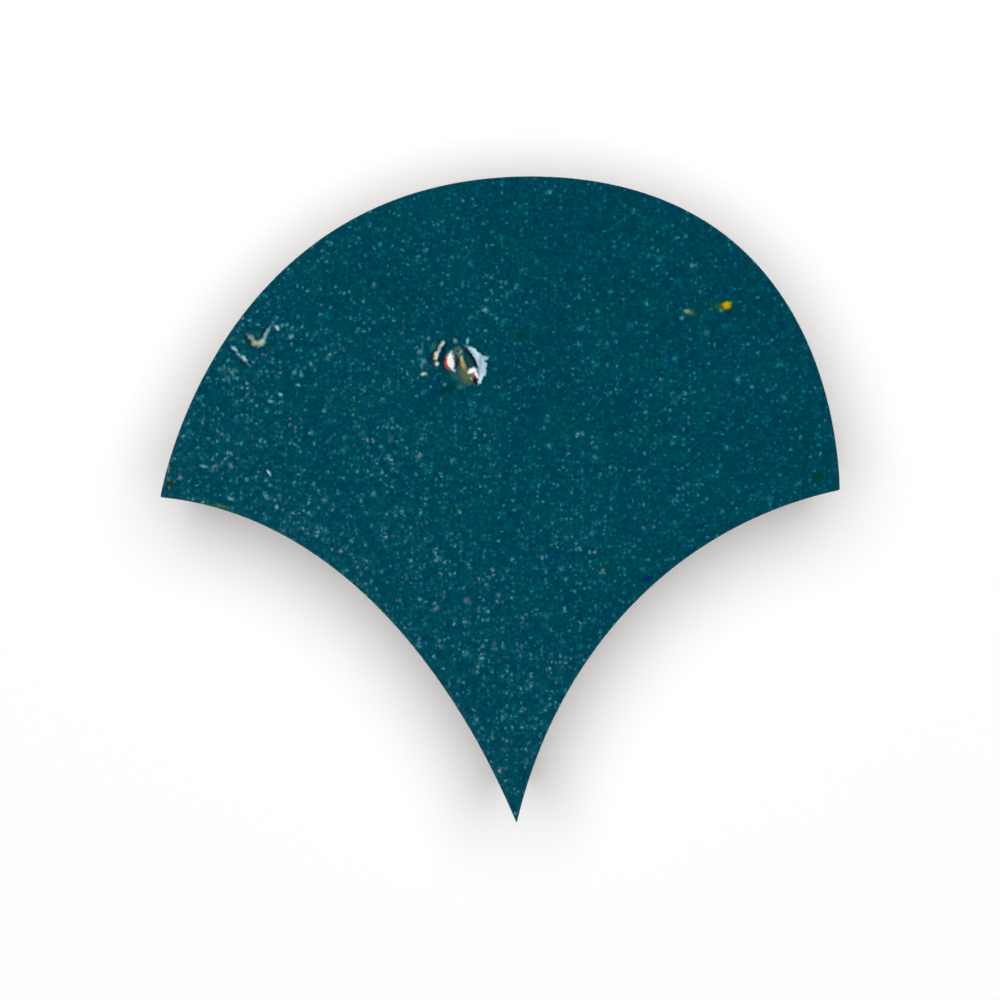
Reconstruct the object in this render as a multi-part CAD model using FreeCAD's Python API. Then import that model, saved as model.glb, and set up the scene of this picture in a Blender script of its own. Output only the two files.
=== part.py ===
"""Fish scale tile: one hand-cut, glazed clay tile that lies on its back with the glazed face up.

Millimetres. +X runs to the right corner, +Y to the crown, +Z out of the glazed face.
The origin is the middle of the tile's box, on the back.

The outline is a scallop: two round shoulders rise from the corners to the crown, and two hollow coves
run down from the corners to the tip, where the shoulders of the next course nest. It was cut by hand,
so its left and right halves differ a little. A narrow band below the face stands upright. Below the
band the sides are dressed back, so that the faces of neighbouring tiles can meet.
"""

import FreeCAD, Part
import math
import os

from FreeCAD import Vector

# The face's outline
FACE_WIDTH = 65.0  # from the left corner to the right corner
CROWN_RISE = 30.35  # from the line between the corners up to the crown
TIP_DROP = 31.55  # from the line between the corners down to the tip
CORNER_STEP = 0.7  # the right corner is this much higher than the left one
CROWN_OFFSET = 2.9  # the crown lies to the right of the middle
TIP_OFFSET = 1.6  # the tip lies to the right of the middle
TIP_FLAT = 0.2  # width of the blunt end of the tip

# How the edges leave the corners and the tip, in degrees
LEFT_SHOULDER_LEAN = 10.5  # inwards from upright, at the left corner
RIGHT_SHOULDER_LEAN = 1.3  # inwards from upright, at the right corner
LEFT_COVE_DIP = 5.3  # below level, at the left corner
RIGHT_COVE_DIP = 12.1  # below level, at the right corner
TIP_LEFT_SPREAD = 22.7  # from upright, left side of the tip
TIP_RIGHT_SPREAD = 13.0  # from upright, right side of the tip

# How full the curves are: the reach of a curve's tangent as a share of the span that it crosses
CROWN_FULLNESS = 0.815  # at the crown, of half the width between the corners
CORNER_FULLNESS = 0.23  # up from a corner, of the crown's rise
COVE_FULLNESS = 0.52  # at both ends of a cove, of the tip's drop

# The section
THICKNESS = 10.0
BAND_HEIGHT = 2.5  # upright band below the face
BACK_INSET = 1.6  # how far the back's edge lies inside the face's edge
ARRIS = 0.25  # broken edge round the glazed face

# The burst blister in the glaze: a round pit, and a shallow flake broken off its right side
PIT_LEFT_OF_CROWN = 6.8
PIT_BELOW_CROWN = 18.0
PIT_DIAMETER = 3.3
PIT_DEPTH = 0.6
FLAKE_OFFSET = 1.1  # from the pit's middle to the flake's middle
FLAKE_DIAMETER = 3.5
FLAKE_DEPTH = 0.22


def heading(degrees):
    """Unit vector at this angle from +X, turned towards +Y."""
    return Vector(math.cos(math.radians(degrees)), math.sin(math.radians(degrees)), 0)


# Headings of the edges where they leave the corners and the tip
LEFT_SHOULDER = heading(90 - LEFT_SHOULDER_LEAN)
RIGHT_SHOULDER = heading(90 + RIGHT_SHOULDER_LEAN)
LEFT_COVE = heading(-LEFT_COVE_DIP)
RIGHT_COVE = heading(180 + RIGHT_COVE_DIP)
TIP_LEFT = heading(90 + TIP_LEFT_SPREAD)
TIP_RIGHT = heading(90 - TIP_RIGHT_SPREAD)

# The face's corners, crown and tip, set so that the box of the outline is centred on the origin
CORNER_Y = (TIP_DROP - CROWN_RISE) / 2
LEFT_CORNER = Vector(-FACE_WIDTH / 2, CORNER_Y - CORNER_STEP / 2, 0)
RIGHT_CORNER = Vector(FACE_WIDTH / 2, CORNER_Y + CORNER_STEP / 2, 0)
CROWN = Vector(CROWN_OFFSET, CORNER_Y + CROWN_RISE, 0)
TIP = Vector(TIP_OFFSET, CORNER_Y - TIP_DROP, 0)


def moved_in(corner, one_edge, other_edge, inset):
    """A corner moved along its bisector until it lies this far inside both of its edges."""
    half_angle = one_edge.getAngle(other_edge) / 2
    bisector = (one_edge + other_edge).normalize()
    return corner + bisector * (inset / math.sin(half_angle))


def curve(start, start_reach, end, end_reach):
    """A smooth edge from start to end, with its tangents' reaches given as vectors from the two ends."""
    bezier = Part.BezierCurve()
    bezier.setPoles([start, start + start_reach, end + end_reach, end])
    return bezier.toShape()


def outline(inset, height):
    """The tile's outline, drawn this far inside the face's edge, as a wire at this height."""
    left = moved_in(LEFT_CORNER, LEFT_SHOULDER, LEFT_COVE, inset)
    right = moved_in(RIGHT_CORNER, RIGHT_SHOULDER, RIGHT_COVE, inset)
    tip = moved_in(TIP, TIP_LEFT, TIP_RIGHT, inset)
    crown = CROWN - Vector(0, inset, 0)
    tip_left = tip - Vector(TIP_FLAT / 2, 0, 0)
    tip_right = tip + Vector(TIP_FLAT / 2, 0, 0)

    corner_y = (left.y + right.y) / 2
    crown_reach = Vector(CROWN_FULLNESS * (right.x - left.x) / 2, 0, 0)
    corner_reach = CORNER_FULLNESS * (crown.y - corner_y)
    cove_reach = COVE_FULLNESS * (corner_y - tip.y)

    left_shoulder = curve(left, LEFT_SHOULDER * corner_reach, crown, -crown_reach)
    right_shoulder = curve(crown, crown_reach, right, RIGHT_SHOULDER * corner_reach)
    right_cove = curve(right, RIGHT_COVE * cove_reach, tip_right, TIP_RIGHT * cove_reach)
    blunt_end = Part.LineSegment(tip_right, tip_left).toShape()
    left_cove = curve(tip_left, TIP_LEFT * cove_reach, left, LEFT_COVE * cove_reach)

    wire = Part.Wire([left_shoulder, right_shoulder, right_cove, blunt_end, left_cove])
    wire.translate(Vector(0, 0, height))
    return wire


def clay_body():
    """The whole tile: dressed sides, upright band and broken edge, lofted through four outlines."""
    sections = [
        outline(BACK_INSET, 0),
        outline(0, THICKNESS - BAND_HEIGHT),
        outline(0, THICKNESS - ARRIS),
        outline(ARRIS, THICKNESS),
    ]
    return Part.makeLoft(sections, True, True)


def dish(x, y, diameter, depth):
    """A ball that cuts a dish of this diameter and depth into the face."""
    radius = (diameter * diameter / 4 + depth * depth) / (2 * depth)
    return Part.makeSphere(radius, Vector(x, y, THICKNESS - depth + radius))


def blister():
    """The burst blister: its round pit, and the flake beside it."""
    x = CROWN.x - PIT_LEFT_OF_CROWN
    y = CROWN.y - PIT_BELOW_CROWN
    pit = dish(x, y, PIT_DIAMETER, PIT_DEPTH)
    flake = dish(x + FLAKE_OFFSET, y, FLAKE_DIAMETER, FLAKE_DEPTH)
    return [pit, flake]


tile = clay_body().cut(blister())
os.makedirs("parts", exist_ok=True)
tile.exportStep("parts/fish_scale_tile.step")

box = tile.BoundBox
print(f"solids {len(tile.Solids)}, valid {tile.isValid()}, volume {tile.Volume:.1f} mm3")
print(f"box {box.XLength:.2f} x {box.YLength:.2f} x {box.ZLength:.2f} mm")
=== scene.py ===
"""Looks of the fish scale tile: one glazed clay tile on a white floor, seen from straight above.

Shapes are worked out in millimetres in the tile's own frame, and go into the mesh in metres:
+X runs to the right corner, +Y to the crown, and +Z out of the glazed face.
"""

import math
from collections import namedtuple

import bpy
import numpy as np
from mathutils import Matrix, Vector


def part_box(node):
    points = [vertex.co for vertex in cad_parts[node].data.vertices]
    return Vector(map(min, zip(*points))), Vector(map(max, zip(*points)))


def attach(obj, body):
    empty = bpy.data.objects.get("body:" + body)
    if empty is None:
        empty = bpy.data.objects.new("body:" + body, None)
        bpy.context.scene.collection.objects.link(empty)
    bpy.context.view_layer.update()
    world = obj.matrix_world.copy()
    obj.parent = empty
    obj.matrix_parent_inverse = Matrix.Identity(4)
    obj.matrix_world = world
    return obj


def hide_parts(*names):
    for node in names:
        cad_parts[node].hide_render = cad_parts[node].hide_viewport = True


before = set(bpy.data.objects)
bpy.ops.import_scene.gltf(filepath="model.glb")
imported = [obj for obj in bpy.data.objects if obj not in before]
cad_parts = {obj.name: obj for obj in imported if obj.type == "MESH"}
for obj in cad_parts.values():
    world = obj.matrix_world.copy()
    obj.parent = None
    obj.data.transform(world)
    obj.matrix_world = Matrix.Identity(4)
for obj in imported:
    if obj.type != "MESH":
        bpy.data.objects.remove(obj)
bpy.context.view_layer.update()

MM = 0.001
NODE = "fish_scale_tile"
box_low, box_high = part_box(NODE)
WIDTH = (box_high.x - box_low.x) / MM
HEIGHT = (box_high.y - box_low.y) / MM
THICKNESS = (box_high.z - box_low.z) / MM

# The face's outline, as the tile was cut
TIP_DROP = 31.55
CROWN_RISE = HEIGHT - TIP_DROP
CORNER_STEP = 0.7
CROWN_OFFSET = 2.9
TIP_OFFSET = 1.6
LEFT_SHOULDER_LEAN = 10.5
RIGHT_SHOULDER_LEAN = 1.3
LEFT_COVE_DIP = 5.3
RIGHT_COVE_DIP = 12.1
TIP_LEFT_SPREAD = 22.7
TIP_RIGHT_SPREAD = 13.0
CROWN_FULLNESS = 0.815
CORNER_FULLNESS = 0.23
COVE_FULLNESS = 0.52
CORNER_SOFTNESS = 0.09

# The section
BAND_HEIGHT = 2.5
BACK_INSET = 1.6
ARRIS = 0.15
BACK_ARRIS = 0.4

# The burst blister
BLISTER_X = CROWN_OFFSET - 6.8
BLISTER_Y = HEIGHT / 2 - 18.0
PIT_HALF_WIDTH = 1.6
PIT_HALF_HEIGHT = 1.8
PIT_DEPTH = 0.6
SWELL_REACH = 3.6
SWELL_HEIGHT = 0.14

# The mesh: cells along each side of the outline, how they crowd together at the blister, and the rings down
# the side
SIDE_CELLS = 232
CROWDING = 2.2
CROWD_REACH = 0.055
CROWD_SAMPLES = 4001
ARRIS_RINGS = 4
BAND_RINGS = 6
SLOPE_RINGS = 15

# Waves of an uneven surface: the shortest and the longest in millimetres, how many there are, and their seed
Waves = namedtuple("Waves", "shortest longest count seed")

# Relief of the glaze, how far it runs down the side, and how its end drips and blurs
FACE_WAVE_HEIGHT = 0.07
FACE_WAVES = Waves(14, 40, 18, seed=3)
PEEL_HEIGHT = 0.006
PEEL_WAVES = Waves(0.9, 3.5, 50, seed=4)
GLAZE_RUN = 1.3
GLAZE_DRIP = 0.35
DRIP_SIZE = 1.6
GLAZE_BLUR = 0.05

# The dressing strokes on the sides: their widths, where they start below the face, how they bite, and how
# narrow the painted highlight on the ridges between them is
STROKE_SEED = 7
STROKE_LEAST, STROKE_MOST = 2.4, 6.4
STROKE_START_LEAST, STROKE_START_MOST = 1.5, 4.0
STROKE_ARCH = 0.9
STROKE_RUN_IN = 1.3
STROKE_DEPTH = 0.5
STROKE_LEAST_BITE = 0.2
STROKE_TILT = 0.18
STROKE_HOLLOW = 0.2
RIDGE_HIGHLIGHT_POWER = 6

# The clay's grit on the sides, how far from the corners and the tip the sides are calm, and the angle in
# degrees from which an edge is sharp
GRIT_HEIGHT = 0.05
GRIT_LIFT = 1.5
GRIT_WAVES = Waves(0.7, 3.0, 60, seed=8)
CORNER_CALM = 2.5
TIP_CALM = 9.0
SHARP_ANGLE = 45.0

# The back: its unevenness, and where its flat part starts inside the face's edge
BACK_WAVE_HEIGHT = 0.06
BACK_WAVES = Waves(2.0, 14, 40, seed=9)
BACK_FACE_INSET = 3.4

# The camera, and how wide the tile is in the picture
LENS = 135.0
SENSOR = 36.0
PICTURE_PIXELS = 1000
TILE_PIXELS = 680

# The light. Bounds in the sky are the upward part of a direction, from 0 at the horizon to 1 overhead
LAMP_SHARE = 1.02
LAMP_HEIGHT = 1000.0
LAMP_RADIUS = 900.0
LAMP_SHIFT = 220.0
SKY_FILL = 0.01
SKY_GLOSS = 0.5
SKY_BELOW = 0.9
HORIZON_SHARE = 0.3
HORIZON_END = 0.5
DARK_ZENITH_END = 0.82
FULL_SKY_START = 0.62

# The floor: how white it is when looked at and in bounced light, its first and last ring and how many there
# are, how far it lies below the back, and how far it laps under the foot
FLOOR_SEEN = 0.98
FLOOR_BOUNCE = 0.7
FLOOR_FIRST_RING = 50.0
FLOOR_LAST_RING = 4000.0
FLOOR_RINGS = 9
FLOOR_GAP = 0.02
FLOOR_LAP = 0.08

# Tones are display levels from 0 to 255, and become linear light at the end of the material
FULL_LEVEL = 255.0
DISPLAY_GAMMA = 2.2


def tone(red, green, blue):
    """A colour from its display levels."""
    return (red / FULL_LEVEL, green / FULL_LEVEL, blue / FULL_LEVEL)


# Tones of the marks
# Pure white; the blister's painted highlights take it
WHITE = tone(255, 255, 255)
CREAM = tone(222, 222, 188)
KHAKI = tone(186, 192, 160)
YELLOW_CREAM = tone(180, 178, 140)
GREY_CREAM = tone(182, 202, 190)
STONE = tone(150, 154, 146)
MIST = tone(136, 176, 182)
# Painted highlight fringe: the red edge beside the painted white highlights
RED_HIGHLIGHT_FRINGE = tone(214, 84, 74)
# Painted shade: the brown rim on the shaded side of raised pale marks
BROWN_PAINTED_SHADE = tone(124, 84, 56)
# Painted shade: the dark rim on the shaded side of raised pale marks
DARK_PAINTED_SHADE = tone(26, 34, 42)
PALE_BLUE = tone(168, 200, 216)
# Painted highlight on the glassy flake and beside the lens
ICE_HIGHLIGHT = tone(196, 226, 240)
# Painted shade: the band across the flake's fractured facets
LAVENDER_PAINTED_SHADE = tone(140, 152, 182)
PALE_CYAN = tone(158, 208, 214)
GREY_DOT = tone(104, 136, 146)
TAN_DOT = tone(108, 124, 122)
DULL_TEAL = tone(66, 112, 124)
RING_OLIVE = tone(104, 120, 96)
OLIVE = tone(112, 118, 70)
OLIVE_FILM = tone(58, 98, 60)
PALE_OLIVE = tone(176, 182, 136)
LEAF = tone(104, 144, 112)
OLIVE_HAZE = tone(48, 86, 84)
AMBER = tone(192, 148, 84)
DARK_GOLD = tone(104, 102, 46)
PALE_LIME = tone(150, 186, 124)
YELLOW = tone(190, 162, 6)
SHADE = tone(0, 58, 70)
DEEP_TEAL = tone(4, 64, 66)
# Painted shade in the gaps and rims round the blister's pale marks
NAVY_PAINTED_SHADE = tone(0, 34, 50)
# Painted shade: the dark line inside the flake and the slot under the arch
BLACK_RED_PAINTED_SHADE = tone(40, 14, 28)
GREEN_SHADE = tone(2, 58, 46)
DARK_OLIVE = tone(56, 54, 28)
BLUE = tone(0, 44, 92)
RUST_HAIR = tone(72, 80, 84)

# A mark is a bent oval on the face: its middle, the turn of its long axis in degrees, its half length and
# half width, its bend in 1/mm, how soft its edge is, how much it covers, its height and its colour
Mark = namedtuple("Mark", "x y turn length width bend edge cover height colour")


def dot(x, y, radius=0.2, colour=GREY_DOT):
    """A small round mark with a soft edge."""
    return Mark(x, y, 0, radius, radius, bend=0.0, edge=0.8, cover=0.8, height=0.02, colour=colour)


# Marks in and round the blister, from its middle
BLISTER_MARKS = [
    # Its shade, and the films below it
    Mark(0.0, 0.1, 0, 2.45, 2.45, 0.0, 0.5, 0.5, 0.0, SHADE),
    Mark(0.0, -1.35, -25, 1.0, 0.55, 0.0, 0.8, 0.75, 0.05, OLIVE_HAZE),
    Mark(0.1, -2.16, 0, 0.36, 0.2, 0.0, 0.9, 0.7, 0.02, DULL_TEAL),
    Mark(-0.99, -2.3, 20, 0.55, 0.28, 0.0, 0.8, 0.8, -0.03, GREEN_SHADE),
    # The cream strip and the bead on the left, with painted shade along their edges
    Mark(-1.6, 1.2, 70, 1.1, 0.28, 0.0, 0.5, 0.7, 0.0, NAVY_PAINTED_SHADE),
    Mark(-2.05, 1.82, 60, 0.48, 0.22, 0.0, 0.5, 0.8, 0.0, DARK_PAINTED_SHADE),
    Mark(-2.48, 0.72, 82, 0.5, 0.22, 0.0, 0.5, 0.8, 0.0, DARK_PAINTED_SHADE),
    Mark(-1.84, 1.94, 58, 0.34, 0.15, 0.0, 0.5, 0.7, 0.0, BROWN_PAINTED_SHADE),
    Mark(-2.36, 0.82, 78, 0.44, 0.19, 0.0, 0.45, 0.75, 0.0, BROWN_PAINTED_SHADE),
    Mark(-2.17, 0.84, 78, 0.44, 0.21, 0.0, 0.6, 1.0, 0.1, CREAM),
    Mark(-1.93, 1.42, 60, 0.5, 0.15, 0.0, 0.7, 0.75, 0.08, GREY_CREAM),
    Mark(-1.62, 1.94, 57, 0.32, 0.18, 0.0, 0.6, 0.95, 0.1, GREY_CREAM),
    Mark(-2.2, 0.03, 0, 0.26, 0.26, 0.0, 0.6, 0.6, 0.0, BROWN_PAINTED_SHADE),
    Mark(-2.1, 0.06, 0, 0.18, 0.18, 0.0, 0.7, 0.9, 0.08, CREAM),
    # The white lens, a painted highlight with a painted red fringe, and painted shade beside it
    Mark(-0.34, 0.25, 95, 0.75, 0.22, 0.0, 0.5, 0.85, -0.04, NAVY_PAINTED_SHADE),
    Mark(-1.4, 0.3, 97, 0.85, 0.24, -0.2, 0.5, 0.7, 0.0, DARK_PAINTED_SHADE),
    Mark(-1.15, 0.16, 97, 0.7, 0.23, -0.2, 0.6, 0.95, 0.1, RED_HIGHLIGHT_FRINGE),
    Mark(-0.81, 0.34, 97, 0.88, 0.37, -0.14, 0.4, 1.0, 0.22, WHITE),
    Mark(-0.58, -0.5, 128, 0.26, 0.14, 0.0, 0.6, 0.95, 0.1, ICE_HIGHLIGHT),
    # The small ring at the top
    Mark(-0.13, 1.28, 0, 0.4, 0.4, 0.0, 0.45, 0.8, 0.18, RING_OLIVE),
    dot(-0.05, 0.92, 0.18),
    dot(0.19, 1.18, 0.17, MIST),
    Mark(-0.17, 1.28, 0, 0.16, 0.16, 0.0, 0.6, 0.9, -0.1, DARK_OLIVE),
    # The amber stem in the middle
    Mark(1.0, 0.5, 116, 0.95, 0.4, 0.0, 0.4, 0.9, -0.06, DEEP_TEAL),
    Mark(-0.04, 0.3, 100, 0.6, 0.16, 0.0, 0.6, 0.9, 0.0, DARK_OLIVE),
    Mark(0.5, -1.0, 116, 0.8, 0.34, 0.0, 0.8, 0.65, 0.3, OLIVE),
    Mark(0.36, 0.1, 110, 0.8, 0.25, 0.0, 0.5, 0.95, 0.3, OLIVE),
    Mark(0.6, -0.22, 113, 0.55, 0.12, 0.0, 0.7, 0.8, 0.0, LEAF),
    Mark(0.25, 0.52, 105, 0.26, 0.18, 0.0, 0.6, 0.95, 0.1, PALE_OLIVE),
    Mark(0.33, -0.06, 111, 0.34, 0.17, 0.0, 0.6, 0.95, 0.04, AMBER),
    Mark(0.92, -1.38, 118, 0.5, 0.18, 0.0, 0.8, 0.7, 0.04, DARK_GOLD),
    Mark(1.15, -1.32, 110, 0.2, 0.12, 0.0, 0.7, 0.9, 0.03, PALE_LIME),
    # The pale flake on the right, its ragged outer edge and its tooth, with painted shade round and across
    # it and painted highlights on it
    Mark(2.12, 0.17, 108, 2.0, 0.6, 0.23, 0.25, 0.55, 0.0, NAVY_PAINTED_SHADE),
    Mark(1.35, 0.66, 118, 1.15, 0.17, 0.16, 0.6, 0.95, -0.1, BLACK_RED_PAINTED_SHADE),
    Mark(2.07, 0.22, 108, 1.9, 0.4, 0.23, 0.25, 1.0, -0.1, PALE_BLUE),
    Mark(2.42, 0.6, 14, 0.42, 0.22, 0.0, 0.6, 0.9, -0.08, PALE_BLUE),
    Mark(2.44, -0.22, 75, 0.4, 0.2, 0.0, 0.45, 0.95, -0.08, PALE_BLUE),
    Mark(2.4, -0.8, 70, 0.4, 0.22, 0.0, 0.45, 0.95, -0.08, PALE_BLUE),
    Mark(1.6, 1.15, 130, 0.75, 0.18, 0.2, 0.6, 0.9, 0.04, ICE_HIGHLIGHT),
    Mark(2.02, 0.4, 93, 0.7, 0.12, 0.0, 0.7, 0.65, -0.04, LAVENDER_PAINTED_SHADE),
    Mark(1.92, -0.45, 75, 0.4, 0.12, 0.0, 0.7, 0.7, -0.04, LAVENDER_PAINTED_SHADE),
    Mark(2.05, -1.32, 72, 0.5, 0.17, 0.0, 0.6, 0.95, 0.04, ICE_HIGHLIGHT),
    # The white arch at the lower right, a painted highlight with a painted red fringe, and painted shade
    # beside and under it
    Mark(0.82, -0.62, 105, 0.4, 0.17, 0.0, 0.6, 0.85, 0.0, BROWN_PAINTED_SHADE),
    Mark(1.18, -0.98, 110, 0.28, 0.2, 0.0, 0.6, 0.9, 0.0, DULL_TEAL),
    Mark(1.44, -1.04, 115, 0.35, 0.15, 0.0, 0.5, 0.9, 0.0, RED_HIGHLIGHT_FRINGE),
    Mark(1.25, -0.56, 20, 0.46, 0.29, -0.35, 0.45, 1.0, 0.28, WHITE),
    Mark(1.63, -0.92, 112, 0.48, 0.19, 0.0, 0.5, 1.0, 0.2, WHITE),
    Mark(1.54, -1.58, 104, 0.38, 0.16, 0.0, 0.5, 0.95, -0.1, BLACK_RED_PAINTED_SHADE),
    # Beads and pits round it
    dot(-2.94, 2.47, 0.21),
    dot(-0.36, 2.27, 0.2, STONE),
    Mark(0.82, 2.26, 88, 0.26, 0.15, 0.0, 0.8, 0.85, 0.02, PALE_CYAN),
    Mark(-2.53, 1.63, 60, 0.36, 0.2, 0.0, 0.9, 0.7, 0.02, DULL_TEAL),
    dot(-3.79, 1.21, 0.23),
    dot(-3.37, 0.31, 0.23),
    dot(-3.58, -0.09, 0.19, TAN_DOT),
    # Painted shade at the edge of the pale bead below
    Mark(-3.52, -0.93, 16, 0.32, 0.2, 0.0, 0.7, 0.4, 0.0, BROWN_PAINTED_SHADE),
    Mark(-3.41, -0.88, 16, 0.26, 0.15, 0.0, 0.7, 0.95, 0.05, GREY_CREAM),
    dot(-1.41, -1.92, 0.18),
]

# Marks elsewhere on the face, from the tile's middle
FACE_MARKS = [
    # The crawled spot like a hook: painted shade along its edge, its two arms and the two lobes between them
    Mark(-24.0, 15.46, -46, 0.66, 0.28, 0.0, 0.6, 0.7, 0.0, DARK_PAINTED_SHADE),
    Mark(-23.7, 14.92, 40, 0.4, 0.26, 0.0, 0.6, 0.8, 0.0, DARK_PAINTED_SHADE),
    Mark(-22.62, 15.92, 62, 0.85, 0.2, 0.0, 0.6, 0.7, 0.0, DARK_PAINTED_SHADE),
    Mark(-23.76, 15.46, -44, 0.56, 0.23, 0.0, 0.7, 0.85, 0.06, STONE),
    Mark(-22.38, 15.84, 62, 0.88, 0.19, 0.0, 0.7, 0.85, 0.05, MIST),
    Mark(-23.42, 14.98, 0, 0.36, 0.26, 0.0, 0.7, 0.85, 0.06, YELLOW_CREAM),
    Mark(-22.82, 15.06, 35, 0.4, 0.27, 0.0, 0.7, 0.9, 0.06, KHAKI),
    Mark(-21.46, 16.46, -40, 0.32, 0.2, 0.0, 0.6, 0.5, 0.0, BROWN_PAINTED_SHADE),
    Mark(-21.28, 16.48, -40, 0.29, 0.18, 0.0, 0.7, 0.95, 0.06, PALE_CYAN),
    dot(-20.81, 16.72, 0.18),
    dot(-20.33, 16.79, 0.18),
    # The crawled streak below it, with painted shade along its edge
    Mark(-25.54, 14.36, -50, 0.46, 0.24, 0.0, 0.6, 0.7, 0.0, DARK_PAINTED_SHADE),
    Mark(-24.6, 13.36, -58, 0.46, 0.28, 0.0, 0.6, 0.75, 0.0, DARK_PAINTED_SHADE),
    Mark(-25.38, 14.44, -48, 0.36, 0.18, 0.0, 0.7, 0.9, 0.06, PALE_CYAN),
    Mark(-24.94, 13.84, -50, 0.36, 0.13, 0.0, 0.7, 0.8, 0.04, MIST),
    Mark(-24.42, 13.5, -55, 0.34, 0.2, 0.0, 0.7, 0.95, 0.07, PALE_CYAN),
    Mark(-24.04, 12.92, -38, 0.3, 0.13, 0.0, 0.8, 0.7, 0.02, TAN_DOT),
    # Faint films and beads near the left edge
    Mark(-25.59, 15.41, 20, 0.3, 0.16, 0.0, 0.9, 0.5, 0.0, OLIVE),
    dot(-19.98, 15.63, 0.22, STONE),
    Mark(-26.5, 12.5, 25, 0.45, 0.14, 0.0, 0.9, 0.6, 0.02, DULL_TEAL),
    dot(-25.23, 12.4, 0.22, DULL_TEAL),
    Mark(-26.03, 11.57, -58, 0.46, 0.12, 0.0, 0.9, 0.75, 0.02, DULL_TEAL),
    dot(-19.66, 12.21, 0.2),
    dot(-18.99, 11.95, 0.2),
    Mark(-19.31, 11.02, -15, 0.24, 0.15, 0.0, 0.8, 0.75, 0.02, MIST),
    Mark(-24.2, 10.05, 50, 0.44, 0.12, 0.0, 0.9, 0.6, 0.02, TAN_DOT),
    dot(-20.98, 10.06, 0.19, GREY_CREAM),
    Mark(-21.88, 9.43, -20, 0.26, 0.15, 0.0, 0.8, 0.75, 0.02, MIST),
    # Painted shade at the edge of the pale streak below
    Mark(-22.22, 2.56, -60, 0.42, 0.18, 0.0, 0.5, 0.6, 0.0, DARK_PAINTED_SHADE),
    Mark(-22.1, 2.6, -60, 0.35, 0.12, 0.0, 0.6, 0.9, 0.04, PALE_CYAN),
    Mark(-24.2, 1.95, 0, 0.19, 0.19, 0.0, 0.8, 0.6, 0.02, STONE),
    dot(-30.57, 2.15, 0.22),
    Mark(-28.28, 3.23, -25, 0.3, 0.15, 0.0, 0.8, 0.7, 0.02, MIST),
    Mark(-27.3, 3.23, 40, 0.3, 0.16, 0.0, 0.8, 0.8, 0.02, TAN_DOT),
    Mark(-25.73, 0.14, -30, 0.3, 0.16, 0.0, 0.8, 0.75, 0.02, MIST),
    Mark(-22.36, 0.36, -55, 0.34, 0.18, 0.0, 0.8, 0.8, 0.02, GREY_DOT),
    dot(-21.33, -0.67, 0.19, MIST),
    # The yellow spot and the films beside it
    Mark(19.8, 18.6, 5, 0.9, 0.4, 0.0, 0.9, 0.35, 0.0, GREEN_SHADE),
    Mark(20.85, 18.52, 20, 0.42, 0.34, 0.0, 0.8, 0.7, 0.0, OLIVE_FILM),
    Mark(21.55, 18.52, 30, 0.58, 0.48, 0.0, 0.6, 0.75, 0.0, DARK_OLIVE),
    Mark(21.67, 18.63, 10, 0.44, 0.36, 0.0, 0.6, 1.0, 0.03, YELLOW),
    dot(21.14, 18.14, 0.18),
    Mark(18.15, 17.97, -20, 0.5, 0.3, 0.0, 0.8, 0.7, 0.02, OLIVE),
    Mark(17.86, 18.04, -10, 0.28, 0.18, 0.0, 0.8, 0.8, 0.02, STONE),
    dot(17.41, 17.41, 0.2),
    dot(18.33, 22.44, 0.2),
    # Dark spots, stains and a hair scratch
    Mark(14.09, -7.56, 15, 0.5, 0.32, 0.0, 0.8, 0.85, -0.03, BLUE),
    Mark(30.3, 2.16, 20, 0.5, 0.36, 0.0, 0.8, 0.8, -0.02, GREEN_SHADE),
    Mark(1.99, 15.66, 0, 0.7, 0.22, 0.0, 0.9, 0.7, -0.02, GREEN_SHADE),
    Mark(-31.6, 1.5, -10, 0.46, 0.28, 0.0, 0.8, 0.55, -0.03, DARK_OLIVE),
    Mark(-26.6, -0.6, -14, 0.55, 0.18, 0.0, 0.9, 0.6, -0.02, OLIVE),
    Mark(11.77, 26.79, 34, 2.7, 0.1, 0.0, 0.9, 0.55, 0.0, RUST_HAIR),
    dot(9.83, -6.76, 0.2, OLIVE),
]


def moved(mark, x, y):
    """A mark shifted by x and y."""
    return mark._replace(x=mark.x + x, y=mark.y + y)


MARKS = [moved(mark, BLISTER_X, BLISTER_Y) for mark in BLISTER_MARKS] + FACE_MARKS


# The outline

def heading(degrees):
    """Unit vector at this angle from +X, turned towards +Y."""
    return np.array([math.cos(math.radians(degrees)), math.sin(math.radians(degrees))])


LEFT_SHOULDER = heading(90 - LEFT_SHOULDER_LEAN)
RIGHT_SHOULDER = heading(90 + RIGHT_SHOULDER_LEAN)
LEFT_COVE = heading(-LEFT_COVE_DIP)
RIGHT_COVE = heading(180 + RIGHT_COVE_DIP)
TIP_LEFT = heading(90 + TIP_LEFT_SPREAD)
TIP_RIGHT = heading(90 - TIP_RIGHT_SPREAD)
CORNER_Y = HEIGHT / 2 - CROWN_RISE
LEFT_CORNER = np.array([-WIDTH / 2, CORNER_Y - CORNER_STEP / 2])
RIGHT_CORNER = np.array([WIDTH / 2, CORNER_Y + CORNER_STEP / 2])
CROWN = np.array([CROWN_OFFSET, HEIGHT / 2])
TIP = np.array([TIP_OFFSET, -HEIGHT / 2])


def moved_in(corner, one_edge, other_edge, inset):
    """A corner moved along its bisector until it lies this far inside both of its edges."""
    half_angle = math.acos(one_edge @ other_edge) / 2
    bisector = one_edge + other_edge
    return corner + bisector / np.linalg.norm(bisector) * inset / math.sin(half_angle)


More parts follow.
